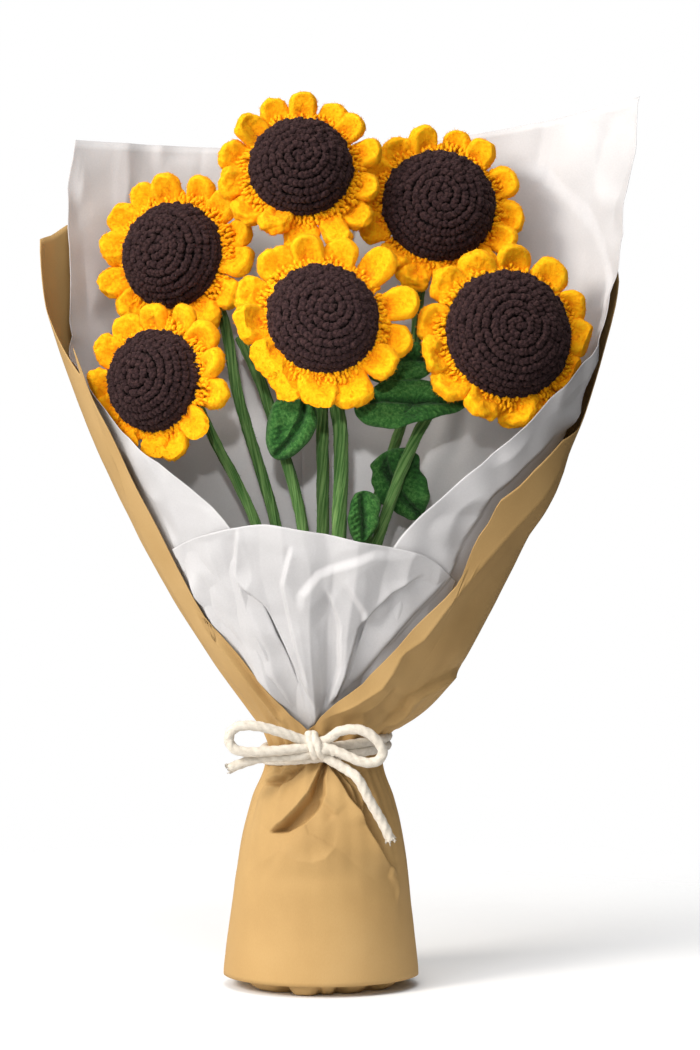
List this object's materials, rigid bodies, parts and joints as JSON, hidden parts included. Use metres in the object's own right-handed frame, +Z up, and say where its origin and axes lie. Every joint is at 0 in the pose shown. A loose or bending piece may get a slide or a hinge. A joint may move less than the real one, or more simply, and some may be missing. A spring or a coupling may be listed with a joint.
{
  "type": "crocheted sunflower bouquet",
  "caption": "Bouquet of crocheted yellow sunflowers with green stems and leaves, in frosted tissue and brown kraft paper, tied at the waist with a cream cotton cord bow, standing on its paper skirt.",
  "frame": {"origin": "centre of the paper skirt's foot, on the floor it stands on", "axes": "+Z up along the bunch from its foot to the flowers; the flowers face -Y; +X is to the right of someone looking at the flowers' faces"},
  "size_m": [0.3001, 0.134, 0.4498],
  "materials": {
    "yellow_yarn": "soft plush crochet yarn",
    "brown_yarn": "soft chenille crochet yarn",
    "green_yarn": "wrapped and crocheted yarn",
    "white_fibre": "polyester stuffing",
    "stem_wire": "drawn wire",
    "kraft_paper": "matt brown kraft paper with creases",
    "frosted_tissue": "frosted white tissue with soft wrinkles",
    "cotton_cord": "soft cotton cord"
  },
  "bodies": {
    "root": {"bow_loop_left": "cotton_cord", "bow_loop_right": "cotton_cord", "calyx_centre": "green_yarn", "calyx_lower_left": "green_yarn", "calyx_right": "green_yarn", "calyx_top": "green_yarn", "calyx_upper_left": "green_yarn", "calyx_upper_right": "green_yarn", "disc_cover_centre": "brown_yarn", "disc_cover_lower_left": "brown_yarn", "disc_cover_right": "brown_yarn", "disc_cover_top": "brown_yarn", "disc_cover_upper_left": "brown_yarn", "disc_cover_upper_right": "brown_yarn", "foot_tuck": "kraft_paper", "kraft_sheet": "kraft_paper", "leaf_behind_small": "green_yarn", "leaf_behind_wide": "green_yarn", "leaf_low_centre": "green_yarn", "leaf_low_right": "green_yarn", "leaf_stalk": "green_yarn", "petals_centre": "yellow_yarn", "petals_lower_left": "yellow_yarn", "petals_right": "yellow_yarn", "petals_top": "yellow_yarn", "petals_upper_left": "yellow_yarn", "petals_upper_right": "yellow_yarn", "stem_wire_centre": "stem_wire", "stem_wire_leaf_stalk": "stem_wire", "stem_wire_lower_left": "stem_wire", "stem_wire_right": "stem_wire", "stem_wire_top": "stem_wire", "stem_wire_upper_left": "stem_wire", "stem_wire_upper_right": "stem_wire", "stem_wrap_centre": "green_yarn", "stem_wrap_leaf_stalk": "green_yarn", "stem_wrap_lower_left": "green_yarn", "stem_wrap_right": "green_yarn", "stem_wrap_top": "green_yarn", "stem_wrap_upper_left": "green_yarn", "stem_wrap_upper_right": "green_yarn", "stuffing_centre": "white_fibre", "stuffing_lower_left": "white_fibre", "stuffing_right": "white_fibre", "stuffing_top": "white_fibre", "stuffing_upper_left": "white_fibre", "stuffing_upper_right": "white_fibre", "tie_band": "cotton_cord", "tie_knot": "cotton_cord", "tie_tail_left": "cotton_cord", "tie_tail_right": "cotton_cord", "tissue_bib": "frosted_tissue", "tissue_sheet_left": "frosted_tissue", "tissue_sheet_right": "frosted_tissue"}
  },
  "joints": []
}
